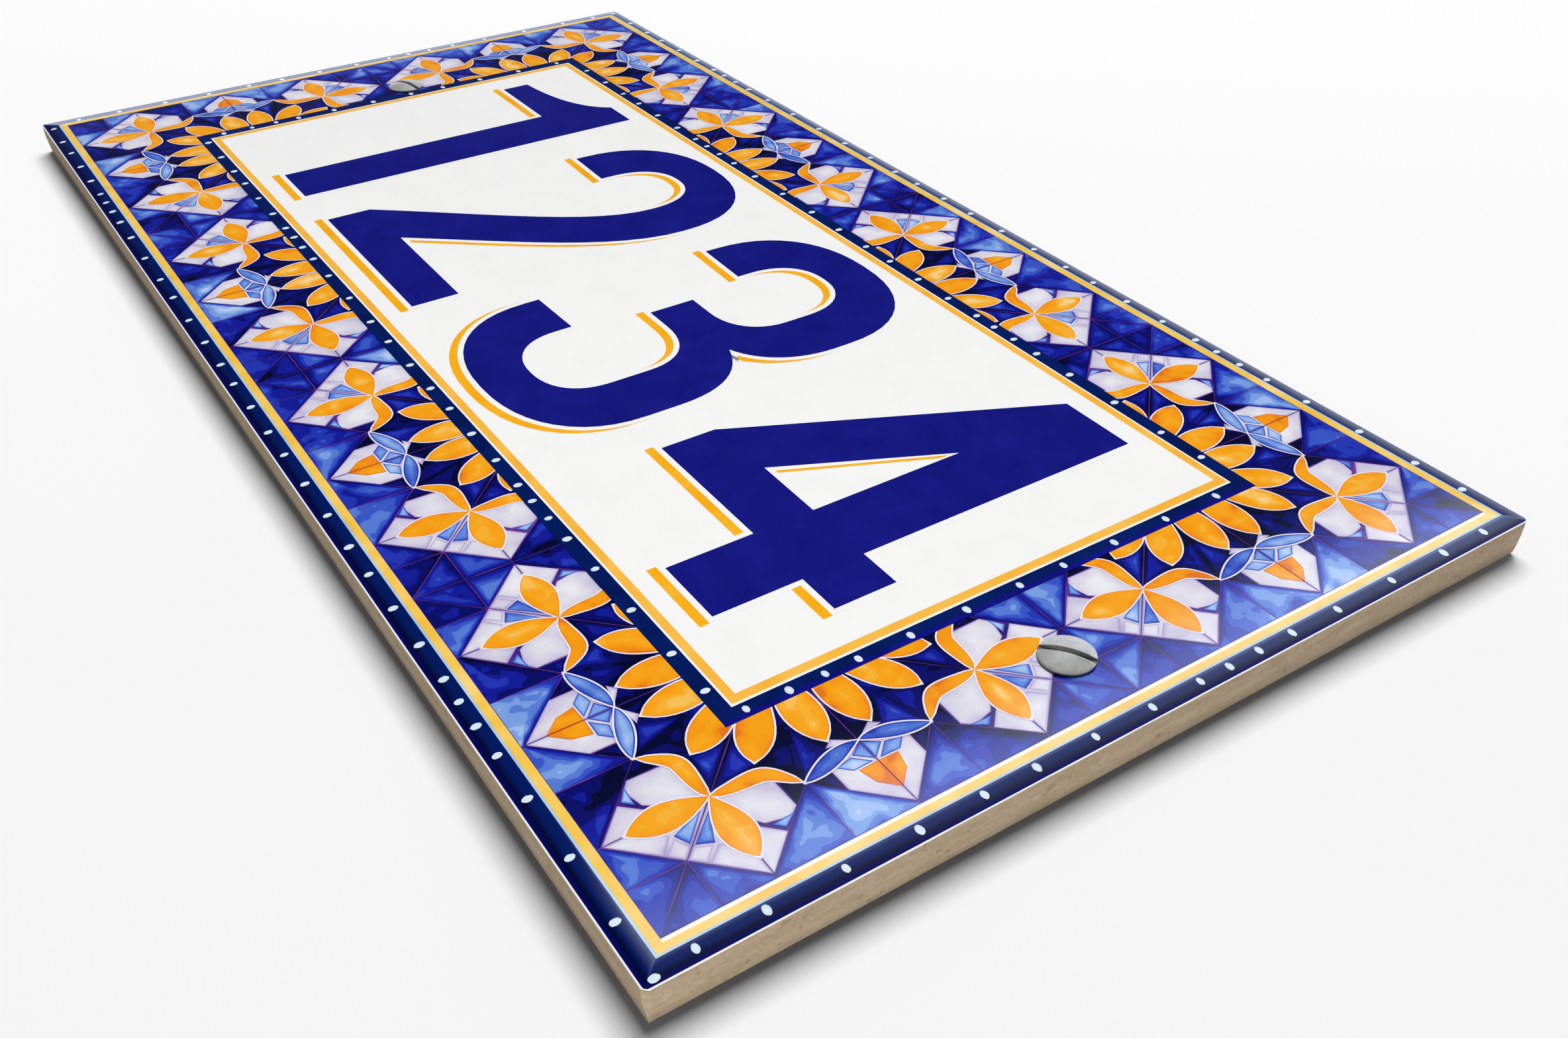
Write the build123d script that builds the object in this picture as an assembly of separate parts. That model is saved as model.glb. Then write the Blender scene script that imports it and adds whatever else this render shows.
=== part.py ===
from build123d import *
from math import sqrt
import os

# House number plaque: a glazed ceramic tile, held to a wall by two slotted screws with domed heads.
# Millimetres. X runs along the number, Z is up, and the face looks towards -Y.
# The origin is the middle of the tile's back, which lies against the wall.

# The tile, at its widest
tile_length = 284.4
tile_height = 150.0
tile_thickness = 6.4
# The glazed face rolls off towards its edges
cushion_width = 4.2
cushion_drop = 0.3
# The bare clay side stands upright below the glaze, then draws in to the back
side_land = 2.2
back_draw_in = 0.5
corner_clip = 0.7
hole_arris = 0.4

# The screws' places: from the tile's end, and from its middle height
left_screw_from_end = 24.4
left_screw_height = 4.3
right_screw_from_end = 14.7
right_screw_height = -3.2

# The screws: a domed head, a plain neck through the tile, and a threaded length that ends in a point
head_diameter = 8.0
head_land = 0.5
head_rise = 0.8
slot_width = 1.0
slot_depth = 1.0
left_slot_angle = 23.0
right_slot_angle = 35.0
neck_diameter = 3.0
neck_in_wall = 1.6
thread_diameter = 4.0
hole_clearance = 0.5
screw_reach_in_wall = 33.6
point_length = 6.0
point_flat_diameter = 0.4


def tile_section(width):
    """The tile cut across: X is the width, Y goes from the back at 0 to the glazed face."""
    half = width / 2
    face = -tile_thickness
    edge_top = face + cushion_drop
    edge_foot = edge_top + side_land
    with BuildSketch() as section:
        with BuildLine():
            Polyline((0, 0), (half - back_draw_in, 0), (half, edge_foot), (half, edge_top))
            TangentArc((half - cushion_width, face), (half, edge_top), tangent=(1, 0))
            Polyline((half - cushion_width, face), (0, face), (0, 0))
        make_face()
        mirror(about=Plane.YZ)
    return section.sketch


def fixing_hole():
    """The hole's outline, turned about the screw's axis: a bore with its two arrises taken off."""
    radius = thread_diameter / 2 + hole_clearance
    mouth = radius + hole_arris
    with BuildSketch() as half_section:
        with BuildLine():
            Polyline(
                (0, 0),
                (mouth, 0),
                (radius, -hole_arris),
                (radius, hole_arris - tile_thickness),
                (mouth, -tile_thickness),
                (0, -tile_thickness),
                close=True,
            )
        make_face()
    return revolve(half_section.sketch, Axis.Y)


def fixing_screw(slot_angle):
    """One screw on the Y axis, its head seated on the tile's face and its point in the wall."""
    head_radius = head_diameter / 2
    neck_radius = neck_diameter / 2
    thread_radius = thread_diameter / 2
    tip_radius = point_flat_diameter / 2
    seat = -tile_thickness
    rim = seat - head_land
    crown = rim - head_rise
    thread_start = neck_in_wall + thread_radius - neck_radius
    with BuildSketch() as half_section:
        with BuildLine():
            TangentArc((0, crown), (head_radius, rim), tangent=(1, 0))
            Polyline(
                (head_radius, rim),
                (head_radius, seat),
                (neck_radius, seat),
                (neck_radius, neck_in_wall),
                (thread_radius, thread_start),
                (thread_radius, screw_reach_in_wall - point_length),
                (tip_radius, screw_reach_in_wall),
                (0, screw_reach_in_wall),
                (0, crown),
            )
        make_face()
    screw = revolve(half_section.sketch, Axis.Y)
    slot = Box(2 * head_diameter, 2 * slot_depth, slot_width)
    return screw - Pos(0, crown, 0) * Rot(0, -slot_angle, 0) * slot


left_place = Pos(left_screw_from_end - tile_length / 2, 0, left_screw_height)
right_place = Pos(tile_length / 2 - right_screw_from_end, 0, right_screw_height)

# The tile is what its long and its short section have in common, with its four corners clipped
across = Plane(origin=(0, 0, 0), x_dir=(0, 0, 1), z_dir=(-1, 0, 0))
long_run = extrude(tile_section(tile_length), tile_height / 2, both=True)
short_run = extrude(across * tile_section(tile_height), tile_length / 2, both=True)
tile = long_run & short_run
clip_width = corner_clip * sqrt(2)
for corner in GridLocations(tile_length, tile_height, 2, 2):
    clip = Box(clip_width, 2 * tile_thickness, clip_width, rotation=(0, 45, 0))
    tile = tile - Pos(corner.position.X, 0, corner.position.Y) * clip
for place in (left_place, right_place):
    tile = tile - place * fixing_hole()

pieces = {
    "glazed_tile": tile,
    "fixing_screw_left": left_place * fixing_screw(left_slot_angle),
    "fixing_screw_right": right_place * fixing_screw(right_slot_angle),
}

os.makedirs("parts", exist_ok=True)
for name, piece in pieces.items():
    export_step(piece, f"parts/{name}.step")
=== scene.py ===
import bpy
import random
from itertools import product
from math import asin, cos, hypot, pi, radians, sin, sqrt
from mathutils import Matrix, Vector
from mathutils.geometry import tessellate_polygon


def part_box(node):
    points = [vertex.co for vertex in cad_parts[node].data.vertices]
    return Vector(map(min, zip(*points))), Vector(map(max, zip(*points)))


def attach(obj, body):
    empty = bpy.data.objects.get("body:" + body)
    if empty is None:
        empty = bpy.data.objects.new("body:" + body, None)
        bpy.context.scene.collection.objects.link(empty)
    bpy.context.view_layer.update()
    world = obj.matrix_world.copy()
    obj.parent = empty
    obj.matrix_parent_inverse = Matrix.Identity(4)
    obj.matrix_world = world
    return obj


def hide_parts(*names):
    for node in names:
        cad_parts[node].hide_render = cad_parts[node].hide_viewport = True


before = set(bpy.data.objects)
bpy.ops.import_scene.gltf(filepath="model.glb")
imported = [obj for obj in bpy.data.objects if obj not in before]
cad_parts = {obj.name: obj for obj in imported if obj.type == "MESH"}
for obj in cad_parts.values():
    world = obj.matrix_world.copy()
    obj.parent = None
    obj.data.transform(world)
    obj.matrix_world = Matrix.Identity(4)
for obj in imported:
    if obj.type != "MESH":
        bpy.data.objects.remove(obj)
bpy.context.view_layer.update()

# The glazed tile
# One pressed and fired slab of buff clay. A white gloss glaze covers the face and its rolled-off edge;
# the sides, the bevel behind them and the back stay bare clay.
MM = 0.001
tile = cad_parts["glazed_tile"]
tile_low, tile_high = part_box("glazed_tile")
face_y = tile_low.y
half_length = tile_high.x / MM
half_height = tile_high.z / MM
cushion_width = 4.2
cushion_drop = 0.3
corner_clip = 0.7
glaze_white = "#F4F4F2"
clay_buff = "#A49178"
clay_dark = "#94816A"
clay_pale = "#B0A08A"
clay_speck = "#75634B"
glaze_run = 0.02
glaze_wander = 0.22
clay_roughness = 0.88
tile_sheen = 0.25


def srgb(code):
    """A written colour as the linear values that shaders take."""
    parts = [int(code[i:i + 2], 16) / 255 for i in (1, 3, 5)]
    linear = [c / 12.92 if c <= 0.04045 else ((c + 0.055) / 1.055) ** 2.4 for c in parts]
    return (*linear, 1.0)


def node(tree, kind, inputs=None, **settings):
    """A shader node with its settings, and each input either linked or given a value."""
    made = tree.nodes.new("ShaderNode" + kind)
    for name, value in settings.items():
        setattr(made, name, value)
    for key, value in (inputs or {}).items():
        if isinstance(value, bpy.types.NodeSocket):
            tree.links.new(value, made.inputs[key])
        else:
            made.inputs[key].default_value = value
    return made


def ramp(tree, factor, stops):
    """A colour ramp through written colours, given as pairs of place and colour."""
    made = node(tree, "ValToRGB", {"Fac": factor})
    band = made.color_ramp
    while len(band.elements) < len(stops):
        band.elements.new(1.0)
    for element, (place, code) in zip(band.elements, stops):
        element.position = place
        element.color = srgb(code)
    return made.outputs["Color"]


def blend_colour(tree, factor, first, second):
    """One colour over another by a mask."""
    mixed = node(tree, "Mix", {0: factor, 6: first, 7: second}, data_type="RGBA")
    return mixed.outputs[2]


def blend_value(tree, factor, first, second):
    """One value over another by a mask."""
    return node(tree, "Mix", {0: factor, 2: first, 3: second}).outputs[0]


def grade(tree, value, start, end, low=0.0, high=1.0):
    """A value that goes from low to high while another goes from start to end."""
    return node(tree, "MapRange", {0: value, 1: start, 2: end, 3: low, 4: high}).outputs[0]


def arithmetic(tree, operation, first, second=0.0, third=0.0):
    """One sum, product or comparison of values."""
    return node(tree, "Math", {0: first, 1: second, 2: third}, operation=operation).outputs[0]


def noise(tree, place, scale, detail=2.0, distortion=0.0):
    """A cloudy value between 0 and 1; a larger scale makes smaller clouds."""
    settings = {"Vector": place, "Scale": scale, "Detail": detail, "Distortion": distortion}
    return node(tree, "TexNoise", settings).outputs[0]


def own_place(tree):
    """Where a point lies in the part's own frame."""
    return node(tree, "TexCoord").outputs["Object"]


def new_material(name):
    """An empty material with its shader, ready to be wired."""
    material = bpy.data.materials.new(name)
    material.use_nodes = True
    tree = material.node_tree
    tree.nodes.clear()
    shader = node(tree, "BsdfPrincipled")
    node(tree, "OutputMaterial", {"Surface": shader.outputs[0]})
    return material, tree, shader


def feed(shader, label, value):
    """Links a value that changes over the surface to one of the shader's sockets."""
    shader.id_data.links.new(value, shader.inputs[label])


def new_group(name, inputs, outputs):
    """An empty node group with named value inputs and outputs."""
    group = bpy.data.node_groups.new(name, "ShaderNodeTree")
    for label, value in inputs.items():
        socket = group.interface.new_socket(label, in_out="INPUT", socket_type="NodeSocketFloat")
        socket.default_value = value
    for label in outputs:
        group.interface.new_socket(label, in_out="OUTPUT", socket_type="NodeSocketFloat")
    return group, group.nodes.new("NodeGroupInput"), group.nodes.new("NodeGroupOutput")


# Fired glaze is never quite flat: a slow ripple, a fine orange peel and an uneven gloss
glaze_skin, skin_in, skin_out = new_group("glaze_skin", {"Gloss": 0.08}, ("Height", "Roughness"))
skin_place = own_place(glaze_skin)
ripple = noise(glaze_skin, skin_place, 55.0)
peel = noise(glaze_skin, skin_place, 800.0)
cloud = noise(glaze_skin, skin_place, 30.0, detail=4.0)
skin_height = arithmetic(glaze_skin, "MULTIPLY_ADD", peel, 0.06, ripple)
glaze_skin.links.new(skin_height, skin_out.inputs["Height"])
gloss_spread = arithmetic(glaze_skin, "MULTIPLY_ADD", cloud, 0.07, skin_in.outputs["Gloss"])
glaze_skin.links.new(gloss_spread, skin_out.inputs["Roughness"])

tile_material, tree, shader = new_material("white_glaze_on_buff_clay")
place = own_place(tree)
along_side = node(tree, "Mapping", {"Vector": place, "Scale": (1.0, 5.0, 1.0)}).outputs[0]
grain = noise(tree, place, 1500.0, detail=3.0)
streak = noise(tree, along_side, 160.0, detail=5.0, distortion=0.6)
clay_tone = arithmetic(tree, "MULTIPLY_ADD", grain, 0.45, arithmetic(tree, "MULTIPLY", streak, 0.6))
clay_colour = ramp(tree, clay_tone, [(0.3, clay_dark), (0.52, clay_buff), (0.75, clay_pale)])
specks = noise(tree, place, 700.0, detail=1.0)
speck_mask = grade(tree, specks, 0.68, 0.76, high=0.5)
clay_colour = blend_colour(tree, speck_mask, clay_colour, srgb(clay_speck))
# The glaze ends in a slightly wandering line at the foot of the rolled edge
height_on_side = node(tree, "SeparateXYZ", {0: place}).outputs["Y"]
wander = noise(tree, place, 120.0)
glaze_foot = face_y + (cushion_drop + glaze_run) * MM
foot_line = arithmetic(tree, "MULTIPLY_ADD", wander, glaze_wander * MM, glaze_foot)
glazed = arithmetic(tree, "LESS_THAN", height_on_side, foot_line)
feed(shader, "Base Color", blend_colour(tree, glazed, clay_colour, srgb(glaze_white)))
skin = node(tree, "Group", node_tree=glaze_skin)
bare = arithmetic(tree, "SUBTRACT", 1.0, glazed)
feed(shader, "Roughness", blend_value(tree, glazed, clay_roughness, skin.outputs["Roughness"]))
shader.inputs["Specular IOR Level"].default_value = tile_sheen
clay_relief = arithmetic(tree, "MULTIPLY", arithmetic(tree, "ADD", grain, streak), bare)
relief = arithmetic(tree, "MULTIPLY_ADD", skin.outputs["Height"], 0.35, clay_relief)
bump = node(tree, "Bump", {"Strength": 0.7, "Distance": 0.0001, "Height": relief})
feed(shader, "Normal", bump.outputs[0])
tile.data.materials.clear()
tile.data.materials.append(tile_material)
# The clay throws no bounced light into its own shadow on the wall
tile.visible_diffuse = False

# The outer navy band
# A band of dark blue enamel painted round the rolled edge of the face and fired on. The print lies a
# little off the tile's middle, so an uneven hair of white glaze shows outside it. Sizes in millimetres.
cushion_radius = (cushion_width ** 2 + cushion_drop ** 2) / (2 * cushion_drop)
edge_steps = 12
colour_thickness = 0.03
blunt_tip = 0.12
open_share = 0.35
chance = random.Random(11)
print_gloss = 0.05


def edge_drop(inset):
    """How far the face has fallen at this distance from one side."""
    short = max(cushion_width - inset, 0.0)
    return cushion_radius - sqrt(cushion_radius ** 2 - short ** 2)


def face_drop(x, z):
    return max(edge_drop(half_length - abs(x)), edge_drop(half_height - abs(z)))


def inset_box(left, right, bottom, top):
    """A rectangle on the face by its distances from the tile's four sides."""
    return left - half_length, half_length - right, bottom - half_height, half_height - top


def inside(box, x, z):
    return box[0] < x < box[1] and box[2] < z < box[3]


def sides(outline):
    """The sides of an outline, each as its two ends."""
    return list(zip(outline, outline[1:] + outline[:1]))


def turn(outline):
    """Twice the outline's area, positive where it runs counter-clockwise."""
    return sum(a[0] * b[1] - b[0] * a[1] for a, b in sides(outline))


def middle_of(outline):
    """The centre of a field's area, and how far that is from the nearest edge."""
    total = turn(outline)
    x = z = 0.0
    for a, b in sides(outline):
        part = a[0] * b[1] - b[0] * a[1]
        x += (a[0] + b[0]) * part / (3 * total)
        z += (a[1] + b[1]) * part / (3 * total)
    reach = min(
        abs((b[0] - a[0]) * (a[1] - z) - (a[0] - x) * (b[1] - a[1])) / hypot(b[0] - a[0], b[1] - a[1])
        for a, b in sides(outline)
    )
    return (x, z), reach


def add_piece(name, points, faces, values, material, crease):
    """A smooth piece whose points carry values, sharp where it turns by more than the crease."""
    mesh = bpy.data.meshes.new(name)
    mesh.from_pydata(points, [], faces)
    for label, row in values.items():
        mesh.attributes.new(label, "FLOAT", "POINT").data.foreach_set("value", row)
    mesh.polygons.foreach_set("use_smooth", [True] * len(mesh.polygons))
    mesh.set_sharp_from_angle(angle=radians(crease))
    mesh.materials.append(material)
    piece = bpy.data.objects.new(name, mesh)
    bpy.context.scene.collection.objects.link(piece)
    return piece


class ColourSheet:
    """Fields of fired-on colour that share one layer and one material: thin closed slabs on the face.

    rim is a point's distance from the edge of its field, tone how light the field is."""

    def __init__(self, lift):
        self.lift = lift
        self.points, self.rims, self.tones, self.faces = [], [], [], []

    def point(self, x, z, rim=0.0, tone=0.5, raised=0.0):
        off_corner = corner_clip - (half_length - abs(x)) - (half_height - abs(z))
        if off_corner > 0:
            x -= off_corner / 2 if x > 0 else -off_corner / 2
            z -= off_corner / 2 if z > 0 else -off_corner / 2
        self.points.append((x * MM, face_y + (face_drop(x, z) - self.lift - raised) * MM, z * MM))
        self.rims.append(rim)
        self.tones.append(tone)
        return len(self.points) - 1

    def facet(self, outline, tone=0.5, lean=0.0, stray=0.0, closed_in=None):
        """A straight-sided or round field, fanned from a point that may stray from its middle to a corner.

        lean lets each corner differ in tone. Corners beyond closed_in keep part of the middle's shade."""
        outline = list(outline) if turn(outline) > 0 else list(reversed(outline))
        (x, z), reach = middle_of(outline)
        if stray:
            corner, share = chance.choice(outline), chance.uniform(0.0, stray)
            x += (corner[0] - x) * share
            z += (corner[1] - z) * share
        hub = self.point(x, z, reach, tone)
        edge = []
        for x, z in outline:
            rim = reach * open_share if closed_in and not inside(closed_in, x, z) else 0.0
            edge.append(self.point(x, z, rim, tone + chance.uniform(-lean, lean)))
        self.faces += [(hub, a, b) for a, b in sides(edge)]

    def blade(self, spine, widths, tone=0.5, raised=0.0):
        """A pointed petal or leaf along a spine, with its half width at each inner point of the spine."""
        first = self.point(*spine[0], blunt_tip, tone, raised)
        rows = []
        for before, here, after, width in zip(spine, spine[1:], spine[2:], widths):
            run = Vector((after[0] - before[0], after[1] - before[1])).normalized()
            right = (here[0] + run.y * width, here[1] - run.x * width)
            left = (here[0] - run.y * width, here[1] + run.x * width)
            places = ((right, 0.0), (here, width), (left, 0.0))
            rows.append([self.point(*place, rim, tone, raised) for place, rim in places])
        last = self.point(*spine[-1], blunt_tip, tone, raised)
        self.faces += [(first, rows[0][0], rows[0][1]), (first, rows[0][1], rows[0][2])]
        for a, b in zip(rows, rows[1:]):
            self.faces += [(a[0], b[0], b[1], a[1]), (a[1], b[1], b[2], a[2])]
        self.faces += [(rows[-1][0], last, rows[-1][1]), (rows[-1][1], last, rows[-1][2])]

    def plate(self, outlines):
        """A field of any outline, with holes."""
        start = len(self.points)
        flat = [point for outline in outlines for point in outline]
        for x, z in flat:
            self.point(x, z)
        loops = [[Vector((x, z, 0)) for x, z in outline] for outline in outlines]
        for corner in tessellate_polygon(loops):
            corner = corner if turn([flat[i] for i in corner]) > 0 else corner[::-1]
            self.faces.append(tuple(start + i for i in corner))

    def ring(self, outer, inner):
        """A rectangular ring that follows the rolled edge; rim is the distance from the tile's side."""
        steps = [cushion_width * i / edge_steps for i in range(edge_steps + 1)]

        def stations(low, inner_low, inner_high, high, half):
            rolled = [step - half for step in steps] + [half - step for step in steps]
            kept = [place for place in rolled if low < place < inner_low or inner_high < place < high]
            return sorted({low, inner_low, inner_high, high, *kept})

        xs = stations(outer[0], inner[0], inner[1], outer[1], half_length)
        zs = stations(outer[2], inner[2], inner[3], outer[3], half_height)
        made = {}

        def corner(i, j):
            if (i, j) not in made:
                x, z = xs[i], zs[j]
                made[i, j] = self.point(x, z, min(half_length - abs(x), half_height - abs(z)))
            return made[i, j]

        for i, j in product(range(len(xs) - 1), range(len(zs) - 1)):
            x, z = (xs[i] + xs[i + 1]) / 2, (zs[j] + zs[j + 1]) / 2
            if inside(inner, x, z):
                continue
            a, b, c, d = corner(i, j), corner(i + 1, j), corner(i + 1, j + 1), corner(i, j + 1)
            # Split along the mitre, so that the rolled edges meet in a clean line
            rising = x * z > 0
            self.faces += [(a, b, c), (a, c, d)] if rising else [(a, b, d), (b, c, d)]

    def make(self, name, material):
        """Closes the sheet to its thickness and gives it its material."""
        count = len(self.points)
        depth = (self.lift + colour_thickness) * MM
        points = self.points + [(x, y + depth, z) for x, y, z in self.points]
        under = [tuple(i + count for i in reversed(face)) for face in self.faces]
        edges = {edge for face in self.faces for edge in sides(face)}
        walls = [(b, a, a + count, b + count) for a, b in sorted(edges) if (b, a) not in edges]
        values = {"rim": self.rims * 2, "tone": self.tones * 2}
        piece = add_piece(name, points, self.faces + under + walls, values, material, crease=25)
        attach(piece, "root")


def lay_ring(name, material, outer, inner, lift):
    """A painted ring between two rectangles, as a piece of its own."""
    sheet = ColourSheet(lift)
    sheet.ring(outer, inner)
    sheet.make(name, material)


def carried(tree, name):
    """A value that the mesh carries at each of its points."""
    return node(tree, "Attribute", attribute_name=name).outputs["Fac"]


def glaze_over(tree, shader):
    """Gives a painted colour the surface of the glaze that it was fired into."""
    skin = node(tree, "Group", {"Gloss": print_gloss}, node_tree=glaze_skin)
    bump = node(tree, "Bump", {"Strength": 0.35, "Distance": 0.00004, "Height": skin.outputs["Height"]})
    feed(shader, "Normal", bump.outputs[0])
    feed(shader, "Roughness", skin.outputs["Roughness"])


navy_enamel, tree, shader = new_material("navy_enamel")
place = own_place(tree)
rim = carried(tree, "rim")
waver = noise(tree, place, 130.0, detail=3.0)
across_band = arithmetic(tree, "MULTIPLY_ADD", waver, 0.5, rim)
navy_stops = [
    (0.15, "#05085C"), (0.22, "#040750"), (0.31, "#03062E"), (0.4, "#021048"), (0.52, "#021A5E"),
]
navy = ramp(tree, arithmetic(tree, "MULTIPLY", across_band, 0.25), navy_stops)
feed(shader, "Base Color", navy)
glaze_over(tree, shader)
band_outside = inset_box(0.3, 0.15, 0.2, 0.1)
band_inside = inset_box(3.2, 2.85, 3.1, 2.6)
lay_ring("outer_navy_band", navy_enamel, band_outside, band_inside, lift=0.02)

# The dots on the outer band
# Pale drops of enamel set along the navy band in a repeating rhythm of wide and narrow gaps. They were
# touched on by hand, so no two are quite the same size.
dot_run = (9.8, 9.2, 7.7, 9.0, 9.1, 8.1, 5.0, 5.3, 6.1, 8.5, 10.8, 10.8)
dot_turn = 8.6
dot_joint_above = (10.2, 9.8, 9.2, 7.7, 9.0, 8.8, 9.8)
dot_joint_below = (dot_turn, 10.4, 9.7, 9.3, 7.6, 8.9, 9.1, 7.8, 9.6)
upright_stretch = 1.06
dot_across = 1.45
dot_along = 1.05
dot_corners = 14
dot_pale = "#DCEAF6"
dot_edge = "#B9D3EE"
dot_bloom = "#F2F7FB"


def dots_along(sheet, start, gaps, across_at, upright=False):
    """A row of dots with these gaps from start: along X, or down along Z where it stands upright."""
    place, step = start, -upright_stretch if upright else 1.0
    for gap in (0.0, *gaps):
        place += gap * step
        size = chance.uniform(0.9, 1.08)
        shift = chance.uniform(-0.08, 0.08)
        along, across = dot_along * size / 2, dot_across * size / 2
        outline = []
        for i in range(dot_corners):
            angle = 2 * pi * i / dot_corners
            bulge = chance.uniform(0.94, 1.06)
            a = place + along * bulge * cos(angle)
            b = across_at + shift + across * bulge * sin(angle)
            outline.append((b, a) if upright else (a, b))
        sheet.facet(outline, tone=chance.random())


dot_enamel, tree, shader = new_material("pale_dot_enamel")
place = own_place(tree)
rim = carried(tree, "rim")
tone = carried(tree, "tone")
pale = ramp(tree, arithmetic(tree, "MULTIPLY_ADD", tone, 0.35, rim), [(0.0, dot_edge), (0.3, dot_pale)])
mottle = grade(tree, noise(tree, place, 900.0), 0.0, 1.0, high=0.25)
feed(shader, "Base Color", blend_colour(tree, mottle, pale, srgb(dot_bloom)))
glaze_over(tree, shader)
outer_dots = ColourSheet(lift=0.035)
band_middle = 1.75
left_band_shift = 0.5
first_above, first_below, first_left, first_right = 2.2, 4.9, 8.0, 8.5
row_above = dot_run + dot_joint_above + dot_run + (dot_turn,)
row_below = dot_run[1:] + dot_joint_below + dot_run + (dot_turn,)
row_down = (dot_turn, *reversed(dot_run), 10.0, dot_turn)
left_line = band_middle + left_band_shift - half_length
dots_along(outer_dots, first_above - half_length, row_above, half_height - band_middle)
dots_along(outer_dots, first_below - half_length, row_below, band_middle - half_height)
dots_along(outer_dots, half_height - first_left, row_down, left_line, upright=True)
dots_along(outer_dots, half_height - first_right, row_down, half_length - band_middle, upright=True)
outer_dots.make("outer_band_dots", dot_enamel)

# The outer lines
# A yellow enamel line inside the navy band, with a hair of pale blue left between them where the two
# colours don't quite meet.
line_outside = inset_box(3.25, 3.15, 3.45, 2.95)
line_inside = inset_box(4.65, 4.25, 4.75, 4.35)


def line_enamel(name, plain, light, dark):
    """Enamel of one colour, laid by hand: thin in places, pooled in others."""
    material, tree, shader = new_material(name)
    pooling = noise(tree, own_place(tree), 140.0, detail=4.0, distortion=0.4)
    colour = ramp(tree, pooling, [(0.3, dark), (0.5, plain), (0.72, light)])
    feed(shader, "Base Color", colour)
    glaze_over(tree, shader)
    return material


pale_blue = line_enamel("pale_blue_enamel", "#B0CDEA", "#C4DAF0", "#9CBEE2")
lay_ring("pale_blue_hairline", pale_blue, band_inside, line_outside, lift=0.02)
straw_yellow = line_enamel("straw_yellow_enamel", "#F7CB58", "#FBD987", "#F2BC3E")
lay_ring("outer_yellow_line", straw_yellow, line_outside, line_inside, lift=0.03)

# The seams of the border
# The border repeats a square tile painting, four along and two up. Its fields of colour don't quite
# touch: the violet ground that they were painted on shows between them as thin seams.
field_box = inset_box(4.75, 4.8, 4.75, 4.4)
panel_box = inset_box(28.2, 28.2, 27.5, 27.5)
violet_ground = line_enamel("violet_ground", "#4C2486", "#7A3F9E", "#2A1560")
lay_ring("violet_seams", violet_ground, field_box, panel_box, lift=0.015)

# The blue fields of the border
# Facets of blue enamel between the flowers, washed on thin: dark at their edges, paler in the middle,
# in shades from near black to sky blue that differ from square to square.
cells_along, cells_up = 4, 2
half_cell_x = (field_box[1] - field_box[0]) / cells_along / 2
half_cell_z = (field_box[3] - field_box[2]) / cells_up / 2
seam_width = 0.2
# Fields that reach beyond this run on under the outer line
closed_in = inset_box(5.2, 5.2, 5.2, 4.9)
knot = (0.268, 0.702)
flower = (0.572, 0.572)
lozenge_foot = (0.572, 0.982)
lozenge_side = (0.777, 0.777)
tulip_foot = (0.0, 0.984)
blue_facets = (
    # outline in the eighth, tone, how much the tone varies
    (((0.0, 0.0), (0.0, 0.628), knot, (0.36, 0.56), flower), 0.05, 0.03),
    ((knot, tulip_foot, (0.0, 1.0), (0.268, 1.0)), 0.62, 0.22),
    ((knot, (0.168, 0.711), (0.166, 0.815)), 0.14, 0.1),
    ((knot, (0.268, 1.0), (0.572, 1.0), lozenge_foot), 0.41, 0.24),
    ((knot, (0.348, 0.63), (0.348, 0.776)), 0.16, 0.12),
    ((lozenge_foot, (0.572, 1.0), (0.777, 1.0), lozenge_side), 0.5, 0.22),
    ((lozenge_side, (0.777, 1.0), (1.0, 1.0)), 0.41, 0.22),
)
blue_over_dark = (
    (((0.178, 0.452), (0.118, 0.612), (0.256, 0.686)), 0.34, 0.22),
    (((0.186, 0.452), (0.355, 0.53), (0.274, 0.68)), 0.16, 0.12),
    (((0.37, 0.385), (0.368, 0.532), (0.548, 0.556)), 0.34, 0.14),
)


def cells():
    """The middles of the repeated squares."""
    for i, j in product(range(cells_along), range(cells_up)):
        yield field_box[0] + (2 * i + 1) * half_cell_x, field_box[2] + (2 * j + 1) * half_cell_z


def placing(middle, swapped, sign_u, sign_v):
    """Turns or mirrors an eighth into its place in a square.

    A point of an eighth is (u, v): u along the side of the square and v towards it, 1 at the edge."""
    def put(point):
        u, v = reversed(point) if swapped else point
        return middle[0] + sign_u * u * half_cell_x, middle[1] + sign_v * v * half_cell_z
    return put


def eighths():
    """The painting is the same in each eighth of its square: all their placings."""
    return [placing(*way) for way in product(cells(), (False, True), (1, -1), (1, -1))]


def under_panel(outline):
    return all(inside(panel_box, x, z) for x, z in outline)


def offset_outline(outline, distance):
    """The outline moved outwards all round, or inwards for a negative distance, with its corners kept."""
    outward = distance if turn(outline) > 0 else -distance
    moved = []
    for before, here, after in zip(outline[-1:] + outline[:-1], outline, outline[1:] + outline[:1]):
        into = Vector((here[0] - before[0], here[1] - before[1])).normalized()
        out_of = Vector((after[0] - here[0], after[1] - here[1])).normalized()
        across = Vector((into.y + out_of.y, -into.x - out_of.x))
        square = max(across.length_squared / 2, 0.25)
        moved.append((here[0] + across.x * outward / square, here[1] + across.y * outward / square))
    return moved


def varied(tone, spread):
    return min(max(tone + chance.uniform(-spread, spread), 0.0), 1.0)


def facets_of(sheet, shapes, inset, stray=0.0):
    """Lays each shape in every eighth of every square, set in to leave its share of a seam."""
    for put in eighths():
        for shape, tone, spread in shapes:
            outline = [put(point) for point in shape]
            if not under_panel(outline):
                outline = offset_outline(outline, -inset)
                sheet.facet(outline, varied(tone, spread), spread, stray, closed_in)


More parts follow.
